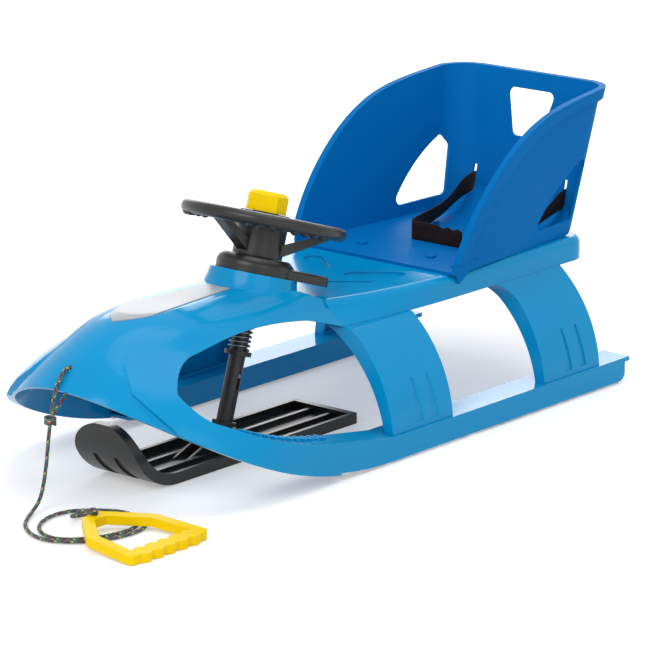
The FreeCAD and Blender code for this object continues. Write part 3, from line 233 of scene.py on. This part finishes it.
# Name, place, aim, size and power in watts.
lamps = [("key_lamp", (0.6, -3.4, 2.6), (0, 0, 0.15), 2.2, 54),
         ("fill_lamp", (3.4, -1.2, 1.8), (0, 0, 0.15), 2.5, 16),
         ("top_lamp", (0.2, 0.4, 3.4), (0, 0, 0.1), 2.4, 26),
         ("back_lamp", (-2.2, 2.6, 1.5), (0, 0, 0.15), 2.6, 44)]


# Camera

def make_camera():
    back = Vector((math.sin(camera_azimuth) * math.cos(camera_elevation),
                   -math.cos(camera_azimuth) * math.cos(camera_elevation),
                   math.sin(camera_elevation)))
    data = bpy.data.cameras.new("camera")
    data.lens = camera_lens
    data.sensor_width = camera_sensor
    data.clip_end = camera_reach
    camera = bpy.data.objects.new("camera", data)
    camera.location = camera_target + back * camera_distance
    camera.rotation_mode = "QUATERNION"
    camera.rotation_quaternion = (-back).to_track_quat("-Z", "Y")
    bpy.context.scene.collection.objects.link(camera)
    bpy.context.scene.camera = camera


# Materials

def linear(colour):
    """Linear colour from 0-255 screen values, by the usual screen curve."""
    def channel(value):
        value = value / 255
        return value / 12.92 if value <= 0.04045 else ((value + 0.055) / 1.055) ** 2.4
    return (*[channel(value) for value in colour], 1.0)


class Nodes:
    """Node tree of a new material or world, with short ways to add and link nodes."""

    def __init__(self, owner):
        owner.use_nodes = True
        self.owner = owner
        self.tree = owner.node_tree
        self.shader = self.tree.nodes.get("Principled BSDF")

    def fill(self, node, inputs):
        """Links the sockets to the node's inputs, and sets its other inputs to the plain values."""
        for key, value in inputs.items():
            if isinstance(value, bpy.types.NodeSocket):
                self.tree.links.new(value, node.inputs[key])
            else:
                node.inputs[key].default_value = value

    def add(self, kind, inputs=None, **settings):
        node = self.tree.nodes.new(kind)
        for key, value in settings.items():
            setattr(node, key, value)
        self.fill(node, inputs or {})
        return node

    def place(self, kind="Object"):
        return self.add("ShaderNodeTexCoord").outputs[kind]

    def noise(self, scale, detail, roughness=0.55, stretch=None):
        vector = self.place()
        if stretch:
            vector = self.add("ShaderNodeMapping", {"Vector": vector, "Scale": stretch}).outputs["Vector"]
        node = self.add("ShaderNodeTexNoise",
                        {"Vector": vector, "Scale": scale, "Detail": detail, "Roughness": roughness})
        return node.outputs["Fac"]

    def wave(self, vector, scale, distortion, direction, detail=1.0):
        node = self.add("ShaderNodeTexWave",
                        {"Vector": vector, "Scale": scale, "Distortion": distortion, "Detail": detail},
                        bands_direction=direction)
        return node.outputs["Fac"]

    def spread(self, value, low, high, to_low=0.0, to_high=1.0):
        node = self.add("ShaderNodeMapRange", {"Value": value, "From Min": low, "From Max": high,
                                               "To Min": to_low, "To Max": to_high})
        return node.outputs["Result"]

    def mix(self, share, a, b):
        """Colour between a and b. The numbers are the mix node's sockets for a share and colours."""
        return self.add("ShaderNodeMix", {0: share, 6: a, 7: b}, data_type="RGBA").outputs[2]

    def math(self, operation, a, b):
        return self.add("ShaderNodeMath", {0: a, 1: b}, operation=operation).outputs[0]

    def bump(self, height, distance, strength, normal=None):
        inputs = {"Height": height, "Distance": distance, "Strength": strength}
        if normal:
            inputs["Normal"] = normal
        return self.add("ShaderNodeBump", inputs).outputs["Normal"]

    def rounded(self, radius):
        """Normal that turns smoothly round edges."""
        return self.add("ShaderNodeBevel", {"Radius": radius}, samples=edge_samples).outputs["Normal"]

    def edges(self, radius):
        """1 on worn outer and inner edges, 0 on plain faces."""
        straight = self.add("ShaderNodeNewGeometry").outputs["Normal"]
        cosine = self.add("ShaderNodeVectorMath", {0: self.rounded(radius), 1: straight},
                          operation="DOT_PRODUCT")
        return self.spread(cosine.outputs["Value"], *edge_cosines)

    def seen(self):
        """1 for what the camera sees, straight or in a shiny or clear surface, and 0 for light."""
        rays = self.add("ShaderNodeLightPath").outputs
        indirect = self.math("MAXIMUM", rays["Is Glossy Ray"], rays["Is Transmission Ray"])
        return self.math("MAXIMUM", rays["Is Camera Ray"], indirect)

    def finish(self, colour, roughness, normal):
        self.fill(self.shader, {"Base Color": colour, "Roughness": roughness, "Normal": normal})
        return self.owner


def plastic(name, colour, worn, rough, grain, grain_scale, shine):
    """Moulded plastic: soft mottling, fine grain, long faint rub marks and slightly paler edges."""
    n = Nodes(bpy.data.materials.new(name))
    n.fill(n.shader, {"IOR": plastic_ior, "Specular IOR Level": shine})
    plain = linear(colour)
    pale = linear(worn)
    deep = tuple(channel * deep_share for channel in plain[:3]) + (1.0,)
    rubs = n.spread(n.noise(scale=60, detail=2, roughness=0.6, stretch=rub_stretch), *rub_range)
    base = n.mix(n.spread(n.noise(scale=9, detail=4), *noise_range), deep, plain)
    base = n.mix(n.math("MULTIPLY", rubs, rub_share), base, pale)
    base = n.mix(n.math("MULTIPLY", n.edges(worn_edge), worn_share), base, pale)
    cloud = n.noise(scale=14, detail=2)
    roughness = n.spread(cloud, *noise_range, rough - rough_spread, rough + rough_spread)
    roughness = n.math("ADD", roughness, n.math("MULTIPLY", rubs, rub_roughness))
    fine = n.noise(scale=grain_scale, detail=2, roughness=0.5)
    normal = n.bump(fine, grain, grain_strength, n.rounded(worn_edge))
    normal = n.bump(n.noise(scale=5, detail=1), wave_depth, wave_strength, normal)
    return n.finish(base, roughness, normal)


def metal(name, bright, dull, rough):
    """Bare or plated metal with draw lines, clouding and brighter edges."""
    n = Nodes(bpy.data.materials.new(name))
    n.fill(n.shader, {"Metallic": 1.0})
    lines = n.noise(scale=420, detail=3, roughness=0.6, stretch=draw_stretch)
    base = n.mix(n.spread(n.noise(scale=40, detail=4), *noise_range), linear(dull), linear(bright))
    base = n.mix(n.math("MULTIPLY", n.edges(metal_edge), metal_edge_share), base, metal_edge_colour)
    roughness = n.spread(lines, *noise_range, rough - metal_smoother, rough + metal_rougher)
    return n.finish(base, roughness, n.bump(lines, draw_depth, draw_strength))


def painted_metal(name, colour, pale, rough):
    """Coated steel: fine orange peel, small rubbed spots and rubbed edges."""
    n = Nodes(bpy.data.materials.new(name))
    n.fill(n.shader, {"Metallic": coat_metallic})
    spots = n.spread(n.noise(scale=170, detail=4, roughness=0.65), *spot_range)
    base = n.mix(n.spread(n.noise(scale=30, detail=3), *noise_range), linear(colour), linear(pale))
    base = n.mix(n.math("MULTIPLY", spots, spot_share), base, linear(spot_colour))
    base = n.mix(n.math("MULTIPLY", n.edges(coat_edge), coat_edge_share), base, linear(coat_edge_colour))
    cloud = n.noise(scale=90, detail=3)
    roughness = n.spread(cloud, *noise_range, rough - coat_smoother, rough + coat_rougher)
    return n.finish(base, roughness, n.bump(n.noise(scale=700, detail=2), peel_depth, peel_strength))


def cloth(name, colour, pale, scale):
    """Woven webbing: ribs that repeat along U, crossing picks along V, and fuzz."""
    n = Nodes(bpy.data.materials.new(name))
    n.fill(n.shader, {"Sheen Weight": cloth_sheen, "Sheen Roughness": cloth_sheen_rough,
                      "Specular IOR Level": cloth_shine})
    place = n.place("UV")
    ribs = n.wave(place, scale, rib_distortion, "X")
    picks = n.wave(place, pick_ratio * scale, pick_distortion, "Y")
    weave = n.math("MULTIPLY", ribs, picks)
    fuzz = n.noise(scale=900, detail=2)
    patches = n.spread(n.noise(scale=50, detail=3), *patch_range, 0.0, patch_share)
    base = n.mix(n.math("MULTIPLY", weave, weave_share), linear(colour), linear(pale))
    base = n.mix(patches, base, linear(pale))
    roughness = n.spread(fuzz, *noise_range, *cloth_rough)
    normal = n.bump(fuzz, fuzz_depth, fuzz_strength)
    normal = n.bump(weave, weave_depth, weave_strength, normal)
    return n.finish(base, roughness, normal)


def yarn(name, colour, pale):
    """One rope yarn: fine fuzzy fibres between two shades."""
    n = Nodes(bpy.data.materials.new(name))
    n.fill(n.shader, {"Sheen Weight": yarn_sheen})
    fibres = n.noise(scale=1800, detail=2, roughness=0.6)
    base = n.mix(n.spread(fibres, *fibre_range), linear(colour), linear(pale))
    roughness = n.spread(n.noise(scale=600, detail=2), *noise_range, *yarn_rough)
    return n.finish(base, roughness, n.bump(fibres, fibre_depth, fibre_strength))


def make_materials():
    looks = {}
    for make, rows in ((plastic, plastics), (metal, metals), (painted_metal, coats), (cloth, cloths),
                       (yarn, yarns)):
        for name, row in rows.items():
            looks[name] = make(name, *row)
    return looks


def dress_nodes(looks):
    """Gives each CAD node the material of its slot. The rope's slot has none: braids replace its nodes."""
    for row in frame["record"]["subparts"]:
        look = looks.get(row["material_slot"])
        if look:
            node = nodes[row["node"]]
            node.data.materials.clear()
            node.data.materials.append(look)


# Lines and meshes

def row_points(rows):
    """Route points in the part's frame, in metres."""
    return [Vector((x, station - origin_station, height)) / 1000 for x, station, height in rows]


def spline_line(points, steps):
    """Points read from the NURBS spline that has these route points as its control points."""
    data = bpy.data.curves.new("route", "CURVE")
    data.dimensions = "3D"
    data.resolution_u = steps
    spline = data.splines.new("NURBS")
    spline.points.add(len(points) - 1)
    for point, place in zip(spline.points, points):
        point.co = (*place, 1.0)
    spline.order_u = spline_order
    spline.use_endpoint_u = True
    holder = bpy.data.objects.new("route", data)
    mesh = bpy.data.meshes.new_from_object(holder)
    line = [v.co.copy() for v in mesh.vertices]
    bpy.data.meshes.remove(mesh)
    bpy.data.objects.remove(holder)
    bpy.data.curves.remove(data)
    return line


def make_piece(name, mesh, materials):
    """Object of the scene from a finished bmesh."""
    bmesh.ops.recalc_face_normals(mesh, faces=mesh.faces)
    data = bpy.data.meshes.new(name)
    mesh.to_mesh(data)
    mesh.free()
    for material in materials:
        data.materials.append(material)
    piece = bpy.data.objects.new(name, data)
    bpy.context.scene.collection.objects.link(piece)
    return piece


# Rope

def frames_along(line):
    """Each point with its distance along the line, two untwisted directions across it and its tangent."""
    away, normal = 0.0, None
    rows = []
    for i, point in enumerate(line):
        tangent = (line[min(i + 1, len(line) - 1)] - line[max(i - 1, 0)]).normalized()
        if normal is None:
            normal = tangent.orthogonal().normalized()
        else:
            away += (point - line[i - 1]).length
            normal = (normal - tangent * normal.dot(tangent)).normalized()
        rows.append((point, away, normal, tangent.cross(normal), tangent))
    return rows


def sweep(mesh, rows, place, wide, thick, look):
    """Oval yarn along the rows. place gives its angle round the line and its distance from it."""
    rings = []
    for point, away, a, b, tangent in rows:
        angle, lift = place(away)
        out = a * math.cos(angle) + b * math.sin(angle)
        sideways = tangent.cross(out)
        ring = []
        for k in range(yarn_sides):
            turn = 2 * math.pi * k / yarn_sides
            ring.append(mesh.verts.new(point + out * (lift + thick * math.sin(turn))
                                       + sideways * (wide * math.cos(turn))))
        rings.append(ring)
    for ring, after in zip(rings, rings[1:]):
        for k in range(yarn_sides):
            beside = (k + 1) % yarn_sides
            face = mesh.faces.new((ring[k], ring[beside], after[beside], after[k]))
            face.material_index = look
            face.smooth = True
    for ring in (rings[0][::-1], rings[-1]):
        mesh.faces.new(ring).material_index = look


def braid(name, line, looks, radius):
    """Round braid: a core and two sets of flat yarns that cross over and under each other."""
    rows = frames_along(line)
    mesh = bmesh.new()
    order = list(yarns)
    wide = yarn_wide_share * radius
    thick = yarn_thick_share * radius
    swing = yarn_lift_share * radius
    middle = radius - thick - swing
    core = core_share * radius
    sweep(mesh, rows, lambda away: (0.0, 0.0), core, core, order.index(core_yarn))
    for way, sign in enumerate((1, -1)):
        for k in range(braid_strands):
            # The second set starts half a step round and swings out where the first swings in.
            def place(away, sign=sign, k=k, way=way):
                turn = 2 * math.pi * away / braid_pitch
                start = 2 * math.pi * (k + 0.5 * way) / braid_strands
                weave = math.sin(braid_strands * turn + math.pi * way)
                return sign * turn + start, middle + swing * weave
            sweep(mesh, rows, place, wide, thick, order.index(braid_yarns[way][k]))
    return make_piece(name, mesh, [looks[look] for look in order])


def knot_points(centre, reach, rise, turns):
    """Route points of a knot's turns round a standing rope."""
    count = int(knot_points_per_turn * turns) + 1
    points = []
    for k in range(count):
        angle = knot_start + 2 * math.pi * k / knot_points_per_turn
        height = rise * (k / (count - 1) - 0.5)
        points.append(centre + Vector((reach * math.cos(angle), reach * math.sin(angle), height)))
    return points


def make_rope(looks):
    loop_line = spline_line(row_points(loop_route), loop_steps)
    loop = braid("rope_loop_braid", loop_line, looks, rope_diameter / 2)
    tow_line = spline_line(row_points(tow_route), tow_steps)
    tow = braid("tow_rope_braid", tow_line, looks, rope_diameter / 2)
    for name, node, turns in knot_rows:
        low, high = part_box(node)
        centre = (low + high) / 2
        reach = (high.x - low.x) / 2 - rope_diameter / 2
        points = knot_points(centre, reach, knot_rise_share * (high.z - low.z), turns)
        knot = braid(name, spline_line(points, knot_steps), looks, rope_diameter / 2)
        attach(knot, "sled")
        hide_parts(node)
    for rope, stands_for in ((loop, ["rope_loop"]), (tow, ["tow_rope", "rope_return", "rope_end"])):
        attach(rope, "sled")
        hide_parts(*stands_for)


# Belt

def strap_edge(rows, sign):
    """Line along a strap's upper edge, for sign 1, or its lower edge, for sign -1."""
    points = []
    for x, station, height, lean in rows:
        side = math.copysign(1, x) * math.cos(math.radians(lean))
        across = Vector((side, 0, math.sin(math.radians(lean)))) * (sign * strap_width / 2)
        points.append(row_points([(x, station, height)])[0] + across)
    return spline_line(points, strap_steps)


def strap_rings(mesh, rows, scalloped):
    """Rings of corners along a strap. A corner is a vertex and its place on the flat webbing."""
    upper = strap_edge(rows, 1)
    lower = strap_edge(rows, -1)
    away = 0.0
    before = None
    rings = []
    for i, (high, low) in enumerate(zip(upper, lower)):
        middle = (high + low) / 2
        away += (middle - before).length if before else 0.0
        before = middle
        ahead = min(i + 1, len(upper) - 1)
        behind = max(i - 1, 0)
        along = upper[ahead] + lower[ahead] - upper[behind] - lower[behind]
        flat = along.cross(high - low).normalized() * (strap_thickness / 2)
        if scalloped and away > scallop_start:
            dip = abs(math.sin(math.pi * away / scallop_pitch))
            high = high + (low - high).normalized() * scallop_depth * dip
        ring = []
        for sign in (1, -1):
            for k in range(strap_columns):
                share = k / (strap_columns - 1)
                corner = mesh.verts.new(high.lerp(low, share) + flat * sign)
                ring.append((corner, share * strap_width, away))
        rings.append(ring)
    return rings


def webbing(name, rows, look, scalloped):
    """Flat strap between two edge lines. A scalloped one has its upper edge gathered near its end."""
    mesh = bmesh.new()
    uv = mesh.loops.layers.uv.new("UVMap")
    rings = strap_rings(mesh, rows, scalloped)

    def face(corners):
        made = mesh.faces.new([corner[0] for corner in corners])
        made.smooth = True
        for loop, corner in zip(made.loops, corners):
            loop[uv].uv = corner[1:]

    for ring, after in zip(rings, rings[1:]):
        for k in range(strap_columns - 1):
            face((ring[k], ring[k + 1], after[k + 1], after[k]))
            back = strap_columns + k
            face((ring[back + 1], ring[back], after[back], after[back + 1]))
        for a, b in ((strap_columns, 0), (strap_columns - 1, 2 * strap_columns - 1)):
            face((ring[a], ring[b], after[b], after[a]))
    for ring in (rings[0], rings[-1]):
        for k in range(strap_columns - 1):
            back = strap_columns + k
            face((ring[k], ring[k + 1], ring[back + 1], ring[back]))
    return make_piece(name, mesh, [look])


def make_belt(looks):
    left = webbing("left_belt_webbing", left_belt_rows, looks["webbing"], True)
    right = webbing("right_belt_webbing", right_belt_rows, looks["webbing"], False)
    for strap, stands_for in ((left, ["left_belt_strap", "belt_end"]), (right, ["right_belt_strap"])):
        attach(strap, "sled")
        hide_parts(*stands_for)


# Rounded edges, spring and bellows

def round_edges():
    """Rounds the sharp edges of the moulded nodes and evens out their shading."""
    for row in frame["record"]["subparts"]:
        width = edge_rounds.get(row["material_slot"])
        if not width:
            continue
        node = nodes[row["node"]]
        weld = node.modifiers.new("join", "WELD")
        weld.merge_threshold = weld_reach
        bevel = node.modifiers.new("round", "BEVEL")
        bevel.width = width
        bevel.segments = round_segments
        bevel.limit_method = "ANGLE"
        bevel.angle_limit = sharp_angle
        shading = node.modifiers.new("shading", "WEIGHTED_NORMAL")
        shading.keep_sharp = False


def squash_springs():
    """Gives the spring below the bush and the bellows below the button meshes of their own."""
    for node, joint, level, length, travel in squashed_nodes:
        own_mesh(nodes[node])


# Floor and light

def make_floor():
    bpy.ops.mesh.primitive_plane_add(size=floor_size, location=(0, 0, floor_level))
    floor = bpy.context.object
    floor.name = "floor"
    n = Nodes(bpy.data.materials.new("floor"))
    n.tree.nodes.remove(n.shader)
    matte = n.add("ShaderNodeBsdfDiffuse", {"Color": floor_colour})
    away = n.add("ShaderNodeVectorMath", {0: n.place()}, operation="LENGTH").outputs["Value"]
    level = n.spread(away, glow_from, glow_to, glow_near, glow_far)
    glow = n.add("ShaderNodeEmission", {"Color": white, "Strength": n.math("MULTIPLY", n.seen(), level)})
    both = n.add("ShaderNodeAddShader", {0: matte.outputs[0], 1: glow.outputs[0]})
    n.fill(n.tree.nodes["Material Output"], {"Surface": both.outputs[0]})
    floor.data.materials.append(n.owner)


def make_world():
    """White where it is seen, and dimmer as a light."""
    world = bpy.data.worlds.new("world")
    bpy.context.scene.world = world
    n = Nodes(world)
    level = n.spread(n.seen(), 0.0, 1.0, world_light, world_seen)
    n.fill(n.tree.nodes["Background"], {"Color": white, "Strength": level})


def make_lamps():
    for name, place, aim, size, power in lamps:
        data = bpy.data.lights.new(name, "AREA")
        data.shape = "DISK"
        data.size = size
        data.energy = power
        lamp = bpy.data.objects.new(name, data)
        lamp.location = place
        lamp.rotation_mode = "QUATERNION"
        lamp.rotation_quaternion = (Vector(aim) - Vector(place)).to_track_quat("-Z", "Y")
        bpy.context.scene.collection.objects.link(lamp)


make_camera()
looks = make_materials()
dress_nodes(looks)
make_rope(looks)
make_belt(looks)
round_edges()
squash_springs()
make_floor()
make_world()
make_lamps()
bpy.context.scene.view_settings.view_transform = "Standard"
